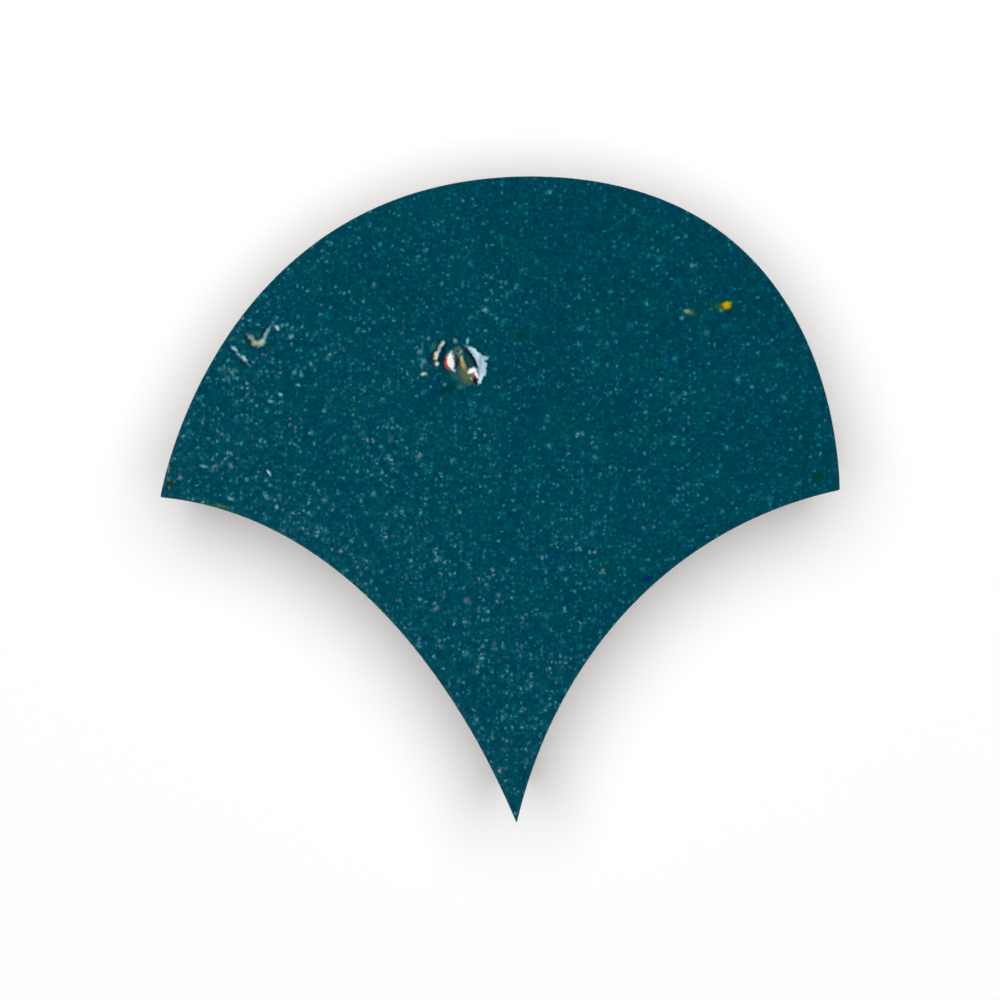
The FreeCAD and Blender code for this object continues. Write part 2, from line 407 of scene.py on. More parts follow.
def curve(start, start_reach, end, end_reach, count=600):
    """Points of a cubic Bezier curve, whose two inner poles stand off the ends by the given reaches."""
    t = np.linspace(0, 1, count)[:, None]
    poles = [start, start + start_reach, end + end_reach, end]
    weights = [(1 - t) ** 3, 3 * t * (1 - t) ** 2, 3 * t * t * (1 - t), t**3]
    return sum(weight * pole for weight, pole in zip(weights, poles))


def outline_sides(inset):
    """The outline drawn this far inside the face's edge, as four curves that run against the clock:
    tip to right corner, right corner to crown, crown to left corner and left corner to tip."""
    left = moved_in(LEFT_CORNER, LEFT_SHOULDER, LEFT_COVE, inset)
    right = moved_in(RIGHT_CORNER, RIGHT_SHOULDER, RIGHT_COVE, inset)
    tip = moved_in(TIP, TIP_LEFT, TIP_RIGHT, inset)
    crown = CROWN - np.array([0, inset])
    corner_y = (left[1] + right[1]) / 2
    crown_reach = np.array([CROWN_FULLNESS * (right[0] - left[0]) / 2, 0])
    corner_reach = CORNER_FULLNESS * (crown[1] - corner_y)
    cove_reach = COVE_FULLNESS * (corner_y - tip[1])
    return [
        curve(tip, TIP_RIGHT * cove_reach, right, RIGHT_COVE * cove_reach),
        curve(right, RIGHT_SHOULDER * corner_reach, crown, crown_reach),
        curve(crown, -crown_reach, left, LEFT_SHOULDER * corner_reach),
        curve(left, LEFT_COVE * cove_reach, tip, TIP_LEFT * cove_reach),
    ]


def softened(points, length):
    """A closed, evenly spaced line with its corners rounded: each point becomes the mean of its neighbours,
    weighted by a bell curve along the line, which damps the short waves of the line's spectrum."""
    waves_per_mm = np.fft.fftfreq(len(points), length / len(points))
    damping = np.exp(-0.5 * (2 * np.pi * waves_per_mm * CORNER_SOFTNESS) ** 2)
    line = np.fft.ifft(np.fft.fft(points[:, 0] + 1j * points[:, 1]) * damping)
    return np.stack([line.real, line.imag], axis=1)


def side_points(inset, across, along, samples=12000):
    """Points on the four sides of a softened outline, at the given shares of each side's length.
    across runs up the right cove and the left shoulder, along up the left cove and the right shoulder."""
    sides = outline_sides(inset)
    line = np.concatenate([side[:-1] for side in sides] + [sides[0][:1]])
    run = np.concatenate([[0], np.cumsum(np.linalg.norm(np.diff(line, axis=0), axis=1))])
    even = np.linspace(0, run[-1], samples, endpoint=False)
    even_line = np.stack([np.interp(even, run, line[:, k]) for k in range(2)], axis=1)
    round_line = softened(even_line, run[-1])
    corner_index = np.cumsum([0] + [len(side) - 1 for side in sides])
    corner_run = run[corner_index]

    def at(side, share):
        """Points at these shares of one side's length."""
        place = corner_run[side] + share * (corner_run[side + 1] - corner_run[side])
        columns = [np.interp(place, even, round_line[:, k], period=run[-1]) for k in range(2)]
        return np.stack(columns, axis=1)

    return at(0, across), at(1, along), at(2, 1 - across), at(3, 1 - along)


def patch(inset, across, along):
    """A grid over the outline, [along, across, xy]: the sum of the two blends between opposite sides, less
    the blend between the four corners."""
    right_cove, right_shoulder, left_shoulder, left_cove = side_points(inset, across, along)
    u = across[None, :, None]
    v = along[:, None, None]
    between_first = (1 - v) * right_cove[None] + v * left_shoulder[None]
    between_second = (1 - u) * left_cove[:, None] + u * right_shoulder[:, None]
    lower = (1 - u) * right_cove[0] + u * right_cove[-1]
    upper = (1 - u) * left_shoulder[0] + u * left_shoulder[-1]
    return between_first + between_second - ((1 - v) * lower + v * upper)


def rim(grid):
    """The edge of a grid, against the clock, as a list of its points or numbers."""
    return np.concatenate([grid[0, :-1], grid[:-1, -1], grid[-1, :0:-1], grid[:0:-1, 0]])


def crowded(centre):
    """Shares from 0 to 1 that lie closer together near the centre, by the running sum of a bell-shaped
    density."""
    fine = np.linspace(0, 1, CROWD_SAMPLES)
    density = 1 + CROWDING * np.exp(-(((fine - centre) / CROWD_REACH) ** 2))
    run = np.concatenate([[0], np.cumsum((density[1:] + density[:-1]) / 2)])
    return np.interp(np.linspace(0, run[-1], SIDE_CELLS + 1), run, fine)


def shares_at_blister():
    """Where the blister lies on the grid, found on an even one: the node that is nearest to it."""
    even = np.linspace(0, 1, SIDE_CELLS + 1)
    distance = np.linalg.norm(patch(ARRIS, even, even) - np.array([BLISTER_X, BLISTER_Y]), axis=2)
    along, across = np.unravel_index(distance.argmin(), distance.shape)
    return even[across], even[along]


# Relief

def waves(places, kind):
    """Uneven values of unit spread: the sum of plane waves with random headings and phases, whose lengths
    are spread evenly between the shortest and the longest. places has the coordinates on its last axis."""
    random = np.random.default_rng(kind.seed)
    headings = random.normal(size=(kind.count, places.shape[-1]))
    headings /= np.linalg.norm(headings, axis=1)[:, None]
    phases = random.uniform(0, 2 * np.pi, kind.count)
    lengths = np.linspace(kind.shortest, kind.longest, kind.count)
    total = np.zeros(places.shape[:-1])
    for way, phase, length in zip(headings, phases, lengths):
        total += np.sin(2 * np.pi * (places @ way) / length + phase)
    return total * math.sqrt(2 / kind.count)


def smooth_step(value):
    """0 below 0, 1 above 1, and a smooth rise between."""
    share = np.clip(value, 0, 1)
    return share * share * (3 - 2 * share)


def mark_mask(mark, x, y):
    """How far a mark covers each point: 1 in the bent oval, falling smoothly to 0 across its soft edge."""
    turn = math.radians(mark.turn)
    along = (x - mark.x) * math.cos(turn) + (y - mark.y) * math.sin(turn)
    across = (y - mark.y) * math.cos(turn) - (x - mark.x) * math.sin(turn)
    distance = np.hypot(along / mark.length, (across - mark.bend * along**2) / mark.width)
    return smooth_step((1 + mark.edge - distance) / (2 * mark.edge))


def face_relief(places):
    """Height of the glaze over the flat face: slow waves and a fine peel, a swelling round the blister, its
    pit, and the marks' own heights."""
    x = places[..., 0]
    y = places[..., 1]
    height = FACE_WAVE_HEIGHT * waves(places, FACE_WAVES) + PEEL_HEIGHT * waves(places, PEEL_WAVES)
    from_blister = np.hypot(x - BLISTER_X, y - BLISTER_Y)
    height += SWELL_HEIGHT * np.exp(-((from_blister / SWELL_REACH) ** 2))
    pit = np.hypot((x - BLISTER_X) / PIT_HALF_WIDTH, (y - BLISTER_Y) / PIT_HALF_HEIGHT)
    height -= PIT_DEPTH * (1 - smooth_step(pit))
    for mark in MARKS:
        height += mark.height * mark_mask(mark, x, y)
    return height


def dressing(run, length, depth):
    """The dressing strokes, [ring, place]: how deep they bite, and how pale they are: each stroke's own
    tone, and a painted highlight on the ridges between strokes. Each stroke is a flat cut with its own
    width, depth, tilt and tone, hollowed across, which starts along an arch."""
    random = np.random.default_rng(STROKE_SEED)
    count = round(2 * length / (STROKE_LEAST + STROKE_MOST))
    widths = random.uniform(STROKE_LEAST, STROKE_MOST, count)
    ends = np.concatenate([[0], np.cumsum(widths)]) * length / widths.sum()
    stroke = np.clip(np.searchsorted(ends, run, side="right") - 1, 0, count - 1)
    across = 2 * (run - ends[stroke]) / (ends[stroke + 1] - ends[stroke]) - 1
    bite = STROKE_DEPTH * random.uniform(STROKE_LEAST_BITE, 1, count)[stroke]
    tilt = STROKE_TILT * random.uniform(-1, 1, count)[stroke] * across
    start = random.uniform(STROKE_START_LEAST, STROKE_START_MOST, count)[stroke] + STROKE_ARCH * across**2
    own_tone = random.uniform(-1, 1, count)[stroke]
    begun = smooth_step((depth[:, None] - start[None]) / STROKE_RUN_IN)
    cut = begun * (bite + tilt + STROKE_HOLLOW * (1 - across**2))
    # Each stroke's own tone varies at random; the ridges between strokes get a painted highlight
    return cut, begun * (own_tone + across**RIDGE_HIGHLIGHT_POWER)


def calm_at_corners(run, length):
    """0 at the tip and at the two corners, rising to 1 away from them, so that their edges stay whole."""
    calm = np.ones(len(run))
    for corner, reach in ((0, TIP_CALM), (SIDE_CELLS, CORNER_CALM), (3 * SIDE_CELLS, CORNER_CALM)):
        gap = np.abs(run - run[corner])
        calm *= smooth_step(np.minimum(gap, length - gap) / reach)
    return calm


def side_profile():
    """Inset and height of each ring down the side: a rounded arris, the upright band, the dressed slope and
    the worn edge of the back."""
    turn = np.linspace(0, np.pi / 2, ARRIS_RINGS + 1)[1:]
    arris = np.stack([ARRIS * (1 - np.sin(turn)), THICKNESS - ARRIS * (1 - np.cos(turn))], axis=1)
    band_foot = [0, THICKNESS - BAND_HEIGHT]
    band = np.linspace([0, THICKNESS - ARRIS], band_foot, BAND_RINGS + 1)[1:]
    slope = np.linspace(band_foot, [BACK_INSET, BACK_ARRIS], SLOPE_RINGS + 1)[1:]
    turn = turn[1::2]
    worn_inset = BACK_INSET + BACK_ARRIS * (1 - np.cos(turn))
    worn = np.stack([worn_inset, BACK_ARRIS * (1 - np.sin(turn))], axis=1)
    return np.concatenate([arris, band, slope, worn])


def ring_at(inset, height, across, along):
    """One ring of the side, against the clock from the tip: the outline at this inset and height."""
    right_cove, right_shoulder, left_shoulder, left_cove = side_points(inset, across, along)
    line = np.concatenate([right_cove[:-1], right_shoulder[:-1], left_shoulder[:0:-1], left_cove[:0:-1]])
    return np.column_stack([line, np.full(len(line), height)])


def inward_normals(line):
    """Unit normals to the inside of a closed line, square to the step between each point's neighbours."""
    step = np.roll(line, -1, axis=0) - np.roll(line, 1, axis=0)
    normals = np.stack([-step[:, 1], step[:, 0]], axis=1)
    return normals / np.linalg.norm(normals, axis=1)[:, None]


def side_rings(across, along):
    """Points of the rings down the side, [ring, place, xyz], and the tone of their strokes with a painted
    highlight on the ridges between them: each ring is pushed in along its own normal by the dressing strokes
    and the clay's grit, with neighbours averaged."""
    profile = side_profile()
    rings = np.array([ring_at(inset, height, across, along) for inset, height in profile])
    top = rings[0, :, :2]
    step = np.linalg.norm(np.roll(top, -1, axis=0) - top, axis=1)
    run = np.concatenate([[0], np.cumsum(step)[:-1]])

    depth = THICKNESS - profile[:, 1]
    bite, pale = dressing(run, step.sum(), depth)
    bare = smooth_step((depth - GLAZE_RUN) / BAND_HEIGHT)
    grit = GRIT_HEIGHT * bare[:, None] * (GRIT_LIFT + waves(rings, GRIT_WAVES))
    push = calm_at_corners(run, step.sum()) * (bite + grit)
    push = (np.roll(push, 1, axis=1) + 2 * push + np.roll(push, -1, axis=1)) / 4
    rings[:, :, :2] += inward_normals(top)[None] * push[:, :, None]
    return rings, pale


def back_relief(places):
    """Height of the back over its bed: an uneven drying face, whose high spots rest on the bed."""
    return np.maximum(0, BACK_WAVE_HEIGHT * (1 + waves(places, BACK_WAVES)))


# The mesh

def grid_quads(numbers):
    """The cells of a grid of vertex numbers, against the clock."""
    corners = [numbers[:-1, :-1], numbers[:-1, 1:], numbers[1:, 1:], numbers[1:, :-1]]
    return np.stack(corners, axis=-1).reshape(-1, 4)


def ring_quads(upper, lower):
    """The cells between two rings of vertex numbers, facing outwards."""
    return np.stack([upper, lower, np.roll(lower, -1), np.roll(upper, -1)], axis=-1)


def stitch(fine, coarse):
    """Triangles between a ring and one with half as many vertices: three to each coarse edge."""
    first = fine[0::2]
    middle = fine[1::2]
    last = np.roll(first, -1)
    after = np.roll(coarse, -1)
    corners = [(first, coarse, middle), (middle, coarse, after), (middle, after, last)]
    return np.concatenate([np.stack(corner, axis=-1) for corner in corners])


def make_mesh(name, points, quads, triangles, layers):
    """A mesh object from whole arrays of points in millimetres, quads and triangles. Each layer is a value
    at every point, kept by its name for the material."""
    mesh = bpy.data.meshes.new(name)
    mesh.vertices.add(len(points))
    mesh.vertices.foreach_set("co", (points * MM).astype(np.float32).ravel())
    corners = np.concatenate([quads.ravel(), triangles.ravel()]).astype(np.int32)
    sizes = np.concatenate([np.full(len(quads), 4), np.full(len(triangles), 3)])
    starts = np.concatenate([[0], np.cumsum(sizes)[:-1]]).astype(np.int32)
    mesh.loops.add(len(corners))
    mesh.loops.foreach_set("vertex_index", corners)
    mesh.polygons.add(len(sizes))
    mesh.polygons.foreach_set("loop_start", starts)
    mesh.polygons.foreach_set("use_smooth", np.ones(len(sizes), bool))
    mesh.update(calc_edges=True)
    mesh.validate()
    mesh.set_sharp_from_angle(angle=math.radians(SHARP_ANGLE))
    for layer, values in layers.items():
        mesh.attributes.new(layer, "FLOAT", "POINT").data.foreach_set("value", values.astype(np.float32))
    made = bpy.data.objects.new(name, mesh)
    bpy.context.scene.collection.objects.link(made)
    return made


def tile_mesh():
    """The whole tile as one closed surface: the glazed face, the rings down its side, and the back. The
    lines of its edge and its foot are handed on as well."""
    across_centre, along_centre = shares_at_blister()
    across = crowded(across_centre)
    along = crowded(along_centre)

    face_xy = patch(ARRIS, across, along)
    face_z = THICKNESS + face_relief(face_xy)
    face = np.concatenate([face_xy, face_z[..., None]], axis=2)

    rings, pale = side_rings(across, along)
    below = THICKNESS - rings[..., 2]
    edge_lift = rim(face_z) - THICKNESS
    rings[..., 2] += edge_lift[None] * smooth_step(1 - below / BAND_HEIGHT)

    back_xy = patch(BACK_FACE_INSET, across[::2], along[::2])
    back_z = back_relief(back_xy)
    back = np.concatenate([back_xy, back_z[..., None]], axis=2)

    face_numbers = np.arange(face_z.size).reshape(face_z.shape)
    ring_numbers = face_z.size + np.arange(below.size).reshape(below.shape)
    back_numbers = face_z.size + below.size + np.arange(back_z.size).reshape(back_z.shape)
    loops = [rim(face_numbers), *ring_numbers]
    quads = [grid_quads(face_numbers), grid_quads(back_numbers)[:, ::-1]]
    quads += [ring_quads(upper, lower) for upper, lower in zip(loops[:-1], loops[1:])]
    triangles = stitch(loops[-1], rim(back_numbers))

    points = np.concatenate([face.reshape(-1, 3), rings.reshape(-1, 3), back.reshape(-1, 3)])
    no_face = np.zeros(face_z.size)
    no_back = np.zeros(back_z.size)
    layers = {
        "below_face": np.concatenate([no_face, below.ravel(), THICKNESS - back_z.ravel()]),
        "stroke_tone_and_ridge_highlight": np.concatenate([no_face, pale.ravel(), no_back]),
    }
    made = make_mesh("glazed_tile", points, np.concatenate(quads), triangles, layers)
    return made, rings[0, :, :2], rings[-1, :, :2]


# Materials

# Cloudy noise runs from 0 to 1: its middle, and how far it mostly swings to either side
NOISE_MIDDLE = 0.5
NOISE_SWING = 0.25


class Tree:
    """A node tree, with short ways to add a node and hand on its result."""

    def __init__(self, tree):
        self.tree = tree

    def put(self, value, socket):
        """Links an output to this input, or sets the input to a plain value."""
        if isinstance(value, bpy.types.NodeSocket):
            self.tree.links.new(value, socket)
        else:
            socket.default_value = value

    def node(self, kind, inputs=(), **settings):
        """A new node with these settings, and with these inputs by name or number."""
        made = self.tree.nodes.new(kind)
        for name, value in settings.items():
            setattr(made, name, value)
        for name, value in dict(inputs).items():
            self.put(value, made.inputs[name])
        return made

    def math(self, operation, *values):
        """The result of an operation on numbers."""
        return self.node("ShaderNodeMath", enumerate(values), operation=operation).outputs[0]

    def vector(self, operation, *values):
        """The result of an operation on vectors, which is a number for a distance or a dot product."""
        made = self.node("ShaderNodeVectorMath", enumerate(values), operation=operation)
        return made.outputs["Value" if operation in ("DISTANCE", "DOT_PRODUCT") else "Vector"]

    def scaled(self, vector, factor):
        """A vector times a number."""
        inputs = {0: vector, "Scale": factor}
        return self.node("ShaderNodeVectorMath", inputs, operation="SCALE").outputs[0]

    def mix(self, factor, first, second):
        """A blend from the first vector to the second."""
        made = self.node("ShaderNodeMix", {0: factor, 4: first, 5: second}, data_type="VECTOR")
        return made.outputs[1]

    def rise(self, value, start, end, top=1.0):
        """A smooth rise from 0 where the value is at start to the top where it is at end."""
        inputs = {"Value": value, "From Min": start, "From Max": end, "To Max": top}
        return self.node("ShaderNodeMapRange", inputs, interpolation_type="SMOOTHSTEP").outputs[0]

    def clouds(self, place, size, detail, solid):
        """Outputs of cloudy noise, whose features are about this size in millimetres, on the flat or in the
        solid."""
        inputs = {"Vector": place, "Scale": 1 / size, "Detail": detail}
        return self.node("ShaderNodeTexNoise", inputs, noise_dimensions="3D" if solid else "2D").outputs

    def noise(self, place, size, detail=1.0, solid=False):
        """Cloudy noise as one number."""
        return self.clouds(place, size, detail, solid)[0]

    def noise_vector(self, place, size, solid=False):
        """Cloudy noise as a vector of three numbers that vary on their own."""
        return self.clouds(place, size, 1.0, solid)["Color"]

    def uneven(self, place, size, spread, detail=1.0, solid=False):
        """Cloudy noise about 0, which swings by about the spread."""
        from_middle = self.math("SUBTRACT", self.noise(place, size, detail, solid), NOISE_MIDDLE)
        return self.math("MULTIPLY", from_middle, spread / NOISE_SWING)

    def grains(self, place, size, reach):
        """Round grains in the solid, one to each cube of this size: a bell curve of the distance to the
        nearest one, and three random values of its own."""
        made = self.node("ShaderNodeTexVoronoi", {"Vector": place, "Scale": 1 / size})
        ratio = self.math("MULTIPLY", made.outputs["Distance"], size / reach)
        bell = self.math("EXPONENT", self.math("MULTIPLY", self.math("POWER", ratio, 2.0), -1.0))
        return bell, self.node("ShaderNodeSeparateColor", {0: made.outputs["Color"]}).outputs


# How ragged the marks' edges are: the size of the noise that shifts them, and how far it reaches
RAGGED_SIZE = 0.4
RAGGED_REACH = 0.13


def mark_cover(tree, place, mark):
    """The cover of one mark: the place is measured along its oval in half lengths and across it in half
    widths, less its bend, and the distance from its middle falls through 1 at its edge. A dot takes the
    plain distance."""
    if mark.length == mark.width:
        reach = mark.length
        distance = tree.vector("DISTANCE", place, (mark.x, mark.y, 0.0))
    else:
        reach = 1.0
        lengthwise = heading(mark.turn) / mark.length
        sideways = heading(mark.turn + 90) / mark.width
        middle_along, middle_across = np.stack([lengthwise, sideways]) @ (mark.x, mark.y)
        along = tree.vector("DOT_PRODUCT", place, (*lengthwise, 0.0))
        across = tree.vector("DOT_PRODUCT", place, (*sideways, 0.0))
        if mark.bend:
            from_middle = tree.math("SUBTRACT", along, middle_along)
            bow = tree.math("MULTIPLY", from_middle, from_middle)
            across = tree.math("MULTIPLY_ADD", bow, -mark.bend * mark.length**2 / mark.width, across)
        oval = tree.node("ShaderNodeCombineXYZ", {0: along, 1: across}).outputs[0]
        distance = tree.vector("DISTANCE", oval, (middle_along, middle_across, 0.0))
    return tree.rise(distance, reach * (1 + mark.edge), reach * (1 - mark.edge), mark.cover)


def with_marks(tree, place, colour):
    """The glaze's colour with every mark laid over it in turn. Places are shifted a little by a fine noise,
    so that the marks' edges are ragged."""
    shift = tree.vector("SUBTRACT", tree.noise_vector(place, RAGGED_SIZE), 3 * (NOISE_MIDDLE,))
    shifted = tree.vector("MULTIPLY_ADD", shift, (2 * RAGGED_REACH, 2 * RAGGED_REACH, 0.0), place)
    for mark in MARKS:
        colour = tree.mix(mark_cover(tree, shifted, mark), colour, mark.colour)
    return colour


# The glaze's ground, in display levels: it lies below what a display shows of red, and its grains add to it
GLAZE = tone(-3, 67, 82)

# The grains in the glaze: their tints, the turn of their cells, the floor of their random values, which
# bounds the brightest, the cells of the fine and the coarse ones with their reach and level, and their warp
COOL_GRAIN = (0.85, 1.0, 1.0)
WARM_GRAIN = (1.75, 0.84, 0.66)
GRAIN_TURN = (0.6, 0.45, 0.3)
GRAIN_FLOOR = 0.055
GRAIN_CELL = 0.4
GRAIN_REACH = 0.165
GRAIN_LEVEL = 25.0
SPECK_CELL = 1.3
SPECK_REACH = 0.26
SPECK_LEVEL = 20.0
WARP_SIZE = 0.35
WARP_REACH = 0.24

# The dust: how it thickens towards the left and the tip and in clouds, how far the grains follow it, and the
# haze that it adds
DUST_LEFT = 0.29
DUST_TIP = 0.28
DUST_CLOUD = 0.14
DUST_SIZE = 7.0
GRAIN_DUST = 0.6
HAZE_TINT = tone(36, 7, 7)

# The web, the clouds, the drifts of hue and the finest mottling: their sizes, tints and levels. Blue falls
# by a share of what green gains in a drift
WEB_SIZE = 0.9
WEB_TINT = (0.3, 1.0, 1.05)
WEB_LEVEL = 4.5
CLOUD_SIZE = 8.0
CLOUD_LEVEL = 0.8
HUE_SIZE = 1.3
HUE_LEVEL = 2.0
SLOW_HUE_SIZE = 4.0
SLOW_HUE_LEVEL = 1.0
BLUE_SHARE = -0.8
FINE_SIZE = 0.3
FINE_TINT = (0.6, 1.0, 1.0)
FINE_LEVEL = 6.0


def scattered(tree, place, cell, reach, level):
    """Grains of every strength and of cool and warm tints: each one's bell curve times the logarithm of its
    own random value, so that most are faint and a few are bright."""
    bell, own = tree.grains(place, cell, reach)
    strength = tree.math("LOGARITHM", tree.math("MAXIMUM", own[0], GRAIN_FLOOR), math.e)
    pale = tree.math("MULTIPLY", tree.math("MULTIPLY", bell, strength), -level / FULL_LEVEL)
    return tree.scaled(tree.mix(own[1], COOL_GRAIN, WARM_GRAIN), pale)


def glaze_colour(tree, place, flat):
    """Deep teal glaze with a soft web, faint drifts from blue to green, and pale uneven grains at every
    depth, which thicken towards the left and the tip."""
    part = tree.node("ShaderNodeSeparateXYZ", {0: flat}).outputs
    turned = tree.node("ShaderNodeMapping", {"Vector": place, "Rotation": GRAIN_TURN}).outputs[0]
    warp = tree.noise_vector(place, WARP_SIZE, solid=True)
    warped = tree.vector("ADD", turned, tree.scaled(warp, 2 * WARP_REACH))
    grain = scattered(tree, warped, GRAIN_CELL, GRAIN_REACH, GRAIN_LEVEL)
    speck = scattered(tree, warped, SPECK_CELL, SPECK_REACH, SPECK_LEVEL)
    dust = tree.math("MULTIPLY_ADD", part[0], -DUST_LEFT / (WIDTH / 2), 1.0)
    dust = tree.math("MULTIPLY_ADD", part[1], -DUST_TIP / (HEIGHT / 2), dust)
    dust = tree.math("ADD", dust, tree.uneven(flat, DUST_SIZE, DUST_CLOUD, detail=2.0))
    strength = tree.math("MULTIPLY_ADD", dust, GRAIN_DUST, 1 - GRAIN_DUST)
    pale = tree.scaled(tree.vector("ADD", grain, speck), strength)
    haze = tree.scaled(HAZE_TINT, tree.math("SUBTRACT", dust, 1.0))
    pale = tree.vector("ADD", pale, haze)

    web = tree.uneven(flat, WEB_SIZE, WEB_LEVEL / FULL_LEVEL, detail=2.0)
    web = tree.math("ADD", web, tree.uneven(flat, CLOUD_SIZE, CLOUD_LEVEL / FULL_LEVEL))
    hue = tree.uneven(flat, HUE_SIZE, HUE_LEVEL / FULL_LEVEL, detail=2.0)
    hue = tree.math("ADD", hue, tree.uneven(flat, SLOW_HUE_SIZE, SLOW_HUE_LEVEL / FULL_LEVEL))
    blue = tree.math("MULTIPLY", hue, BLUE_SHARE)
    drift = tree.node("ShaderNodeCombineXYZ", {1: hue, 2: blue}).outputs[0]
    base = tree.vector("ADD", tree.vector("ADD", drift, tree.scaled(WEB_TINT, web)), GLAZE)
    return tree.vector("ADD", base, pale)


# The clay, in display levels
CLAY = tone(178, 168, 151)
CLAY_DARK = tone(153, 143, 127)
CLAY_PALE = tone(202, 193, 177)
CLAY_IRON = tone(112, 86, 68)
CLAY_PORE = tone(118, 108, 94)
STROKE_AND_RIDGE_LEVEL = 13.0

# Layers in the clay: the size of their noise, its detail, where in the noise they start and are full, and
# how much they cover there
Layer = namedtuple("Layer", "size detail start full cover")
CLOUD_LAYER = Layer(1.8, 4.0, 0.3, 0.7, 1.0)
GRIT_LAYER = Layer(0.3, 2.0, 0.55, 0.72, 0.6)
PORE_LAYER = Layer(0.5, 2.0, 0.36, 0.26, 0.8)
IRON_LAYER = Layer(1.1, 1.0, 0.72, 0.78, 0.7)

# Finish of the two: their roughness, how uneven the gloss is, and the size and height of their finest relief
CLAY_ROUGHNESS = 0.92
GLAZE_ROUGHNESS = 0.18
GLOSS_SIZE = 1.2
GLOSS_SPREAD = 0.03
CLAY_BUMP_SIZE = 0.45
CLAY_BUMP = 0.16
GLAZE_BUMP_SIZE = 0.5
GLAZE_BUMP = 0.006


def layer_cover(tree, place, layer):
    """How far a layer in the clay covers each place."""
    noise = tree.noise(place, layer.size, layer.detail, solid=True)
    return tree.rise(noise, layer.start, layer.full, layer.cover)


def clay_colour(tree, place):
    """Bare fired clay: greyed buff, a little clouded, with its dressing strokes' own tones and a painted
    highlight on the ridges between them, pale grit, pores and a few iron spots."""
    colour = tree.mix(layer_cover(tree, place, CLOUD_LAYER), CLAY_DARK, CLAY)
    # The strokes' own tones, with the painted highlight on their ridges
    stroke = tree.node("ShaderNodeAttribute", attribute_name="stroke_tone_and_ridge_highlight").outputs["Fac"]
    stroke = tree.math("MULTIPLY", stroke, STROKE_AND_RIDGE_LEVEL / FULL_LEVEL)
    colour = tree.vector("ADD", colour, tree.scaled(WHITE, stroke))
    for layer, tint in ((GRIT_LAYER, CLAY_PALE), (PORE_LAYER, CLAY_PORE), (IRON_LAYER, CLAY_IRON)):
        colour = tree.mix(layer_cover(tree, place, layer), colour, tint)
    return colour


def glazed_clay():
    """The tile's one material: glaze on the face and down to a ragged line below its edge, bare clay below.
    Colours are mixed in display tones and turned to linear light last."""
    material = bpy.data.materials.new("glazed_clay")
    material.use_nodes = True
    tree = Tree(material.node_tree)
    shader = material.node_tree.nodes["Principled BSDF"]
    place = tree.scaled(tree.node("ShaderNodeTexCoord").outputs["Object"], 1 / MM)
    part = tree.node("ShaderNodeSeparateXYZ", {0: place}).outputs
    flat = tree.node("ShaderNodeCombineXYZ", {0: part[0], 1: part[1]}).outputs[0]

    below = tree.node("ShaderNodeAttribute", attribute_name="below_face").outputs["Fac"]
    drip = tree.uneven(place, DRIP_SIZE, GLAZE_DRIP, detail=3.0, solid=True)
    glazed = tree.rise(tree.math("ADD", below, drip), GLAZE_RUN + GLAZE_BLUR, GLAZE_RUN - GLAZE_BLUR)

    glaze = with_marks(tree, flat, glaze_colour(tree, place, flat))
    colour = tree.mix(glazed, clay_colour(tree, place), glaze)
    fine = tree.uneven(flat, FINE_SIZE, FINE_LEVEL / FULL_LEVEL)
    colour = tree.vector("ADD", colour, tree.scaled(FINE_TINT, fine))
    colour = tree.vector("MAXIMUM", colour, (0.0, 0.0, 0.0))
    linear = tree.node("ShaderNodeGamma", {"Color": colour, "Gamma": DISPLAY_GAMMA}).outputs[0]
    tree.put(linear, shader.inputs["Base Color"])

    gloss = tree.uneven(flat, GLOSS_SIZE, GLOSS_SPREAD, detail=2.0)
    glossier = tree.math("SUBTRACT", gloss, CLAY_ROUGHNESS - GLAZE_ROUGHNESS)
    roughness = tree.math("MULTIPLY_ADD", glazed, glossier, CLAY_ROUGHNESS)
    tree.put(roughness, shader.inputs["Roughness"])

    bare = tree.math("SUBTRACT", 1.0, glazed)
    clay_noise = tree.noise(place, CLAY_BUMP_SIZE, detail=3.0, solid=True)
    clay_height = tree.math("MULTIPLY", clay_noise, CLAY_BUMP)
    glaze_height = tree.math("MULTIPLY", tree.noise(flat, GLAZE_BUMP_SIZE), GLAZE_BUMP)
    height = tree.math("MULTIPLY_ADD", clay_height, bare, tree.math("MULTIPLY", glaze_height, glazed))
    bump = tree.node("ShaderNodeBump", {"Height": height, "Distance": MM})
    tree.put(bump.outputs[0], shader.inputs["Normal"])
    return material


# The floor, the light and the camera

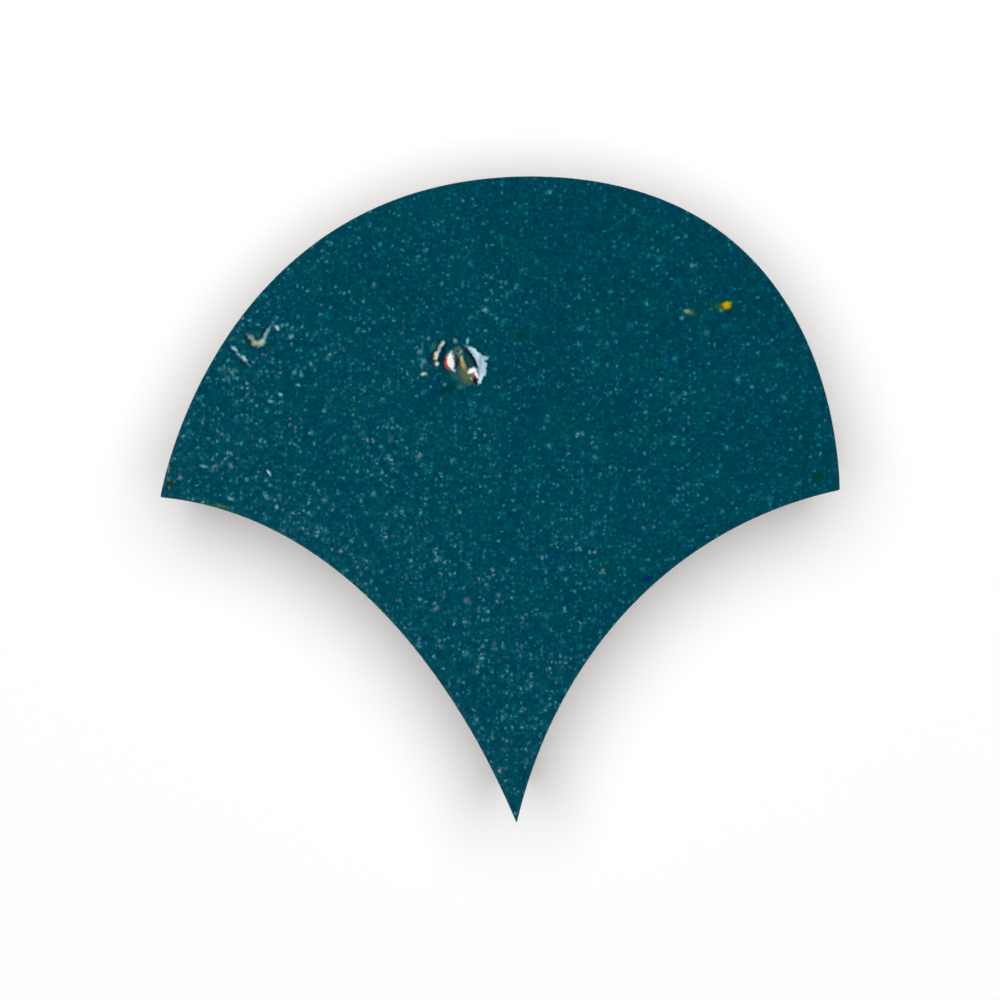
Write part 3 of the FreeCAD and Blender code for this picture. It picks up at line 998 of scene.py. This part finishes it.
def make_floor(edge, foot):
    """A pale floor that keeps the shadow, and is whiter for rays that look at it. It lies a hair below the
    back, is open within the tile's foot and is clear from below, so that the back can be seen. It spreads
    from the opening to the line below the tile's edge, and from there in ever wider rings."""
    opening = foot + FLOOR_LAP * inward_normals(edge)
    outward = edge - edge.mean(axis=0)
    outward /= np.linalg.norm(outward, axis=1)[:, None]
    circles = [radius * outward for radius in np.geomspace(FLOOR_FIRST_RING, FLOOR_LAST_RING, FLOOR_RINGS)]
    lines = [opening, edge, *circles]
    flat = np.concatenate(lines)
    points = np.column_stack([flat, np.full(len(flat), -FLOOR_GAP)])
    numbers = np.arange(len(flat)).reshape(len(lines), -1)
    quads = np.concatenate([ring_quads(inner, outer) for inner, outer in zip(numbers[:-1], numbers[1:])])
    floor = make_mesh("floor", points, quads, np.zeros((0, 3), int), {})
    material = bpy.data.materials.new("floor_white")
    material.use_nodes = True
    material.node_tree.nodes.clear()
    tree = Tree(material.node_tree)
    path = tree.node("ShaderNodeLightPath").outputs
    seen = tree.math("MAXIMUM", path["Is Camera Ray"], path["Is Glossy Ray"])
    seen = tree.math("MAXIMUM", seen, path["Is Transmission Ray"])
    white = tree.math("MULTIPLY_ADD", seen, FLOOR_SEEN - FLOOR_BOUNCE, FLOOR_BOUNCE)
    plain = tree.node("ShaderNodeBsdfDiffuse", {"Color": white}).outputs[0]
    clear = tree.node("ShaderNodeBsdfTransparent").outputs[0]
    under = tree.node("ShaderNodeNewGeometry").outputs["Backfacing"]
    shown = tree.node("ShaderNodeMixShader", {0: under, 1: plain, 2: clear}).outputs[0]
    tree.node("ShaderNodeOutputMaterial", {"Surface": shown})
    floor.data.materials.append(material)


def make_sky():
    """A ring of soft light with a dark zenith, so that the glossy face shows its colour from above. It
    fills the shade a little, is brighter in reflections, and lights the back through the clear underside of
    the floor. Rays from the camera see plain white."""
    world = bpy.data.worlds.new("soft_room")
    bpy.context.scene.world = world
    world.use_nodes = True
    world.node_tree.nodes.clear()
    tree = Tree(world.node_tree)
    direction = tree.node("ShaderNodeTexCoord").outputs["Generated"]
    upward = tree.node("ShaderNodeSeparateXYZ", {0: direction}).outputs[2]
    path = tree.node("ShaderNodeLightPath").outputs
    haze = tree.math("MULTIPLY_ADD", tree.rise(upward, 0.0, HORIZON_END), 1 - HORIZON_SHARE, HORIZON_SHARE)
    gloss = tree.math("MULTIPLY", haze, SKY_GLOSS)
    brighter = tree.math("SUBTRACT", gloss, SKY_FILL)
    level = tree.math("MULTIPLY_ADD", path["Is Glossy Ray"], brighter, SKY_FILL)
    ring = tree.math("MULTIPLY", tree.rise(upward, DARK_ZENITH_END, FULL_SKY_START), level)
    below = tree.math("MULTIPLY", tree.math("LESS_THAN", upward, 0.0), SKY_BELOW)
    strength = tree.math("MAXIMUM", tree.math("MAXIMUM", ring, below), path["Is Camera Ray"])
    sky = tree.node("ShaderNodeBackground", {"Strength": strength}).outputs[0]
    tree.node("ShaderNodeOutputWorld", {"Surface": sky})


def make_lamp():
    """A wide soft lamp overhead, a little towards the crown, which gives its share of a plain light level
    and short soft shadows. It is left out of reflections, as behind a polarising filter."""
    lamp = bpy.data.lights.new("overhead_lamp", "AREA")
    lamp.shape = "DISK"
    lamp.size = 2 * LAMP_RADIUS * MM
    reach = (LAMP_RADIUS**2 + LAMP_HEIGHT**2 + LAMP_SHIFT**2) * MM**2
    lamp.energy = LAMP_SHARE * math.pi**2 * reach
    made = bpy.data.objects.new("overhead_lamp", lamp)
    bpy.context.scene.collection.objects.link(made)
    made.location = (0.0, LAMP_SHIFT * MM, LAMP_HEIGHT * MM)
    made.visible_camera = False
    made.visible_glossy = False
    lamp.cycles.use_multiple_importance_sampling = False


def make_camera():
    """A long lens straight above the tile, so far off that the tile is TILE_PIXELS wide in the picture."""
    data = bpy.data.cameras.new("camera")
    data.lens = LENS
    data.sensor_width = SENSOR
    camera = bpy.data.objects.new("camera", data)
    bpy.context.scene.collection.objects.link(camera)
    picture_width = WIDTH * PICTURE_PIXELS / TILE_PIXELS
    camera.location = (0.0, 0.0, (THICKNESS + picture_width * LENS / SENSOR) * MM)
    bpy.context.scene.camera = camera


tile, tile_edge, tile_foot = tile_mesh()
tile.data.materials.append(glazed_clay())
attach(tile, "root")
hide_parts(NODE)

make_floor(tile_edge, tile_foot)
make_sky()
make_lamp()
make_camera()
bpy.context.scene.view_settings.view_transform = "Standard"
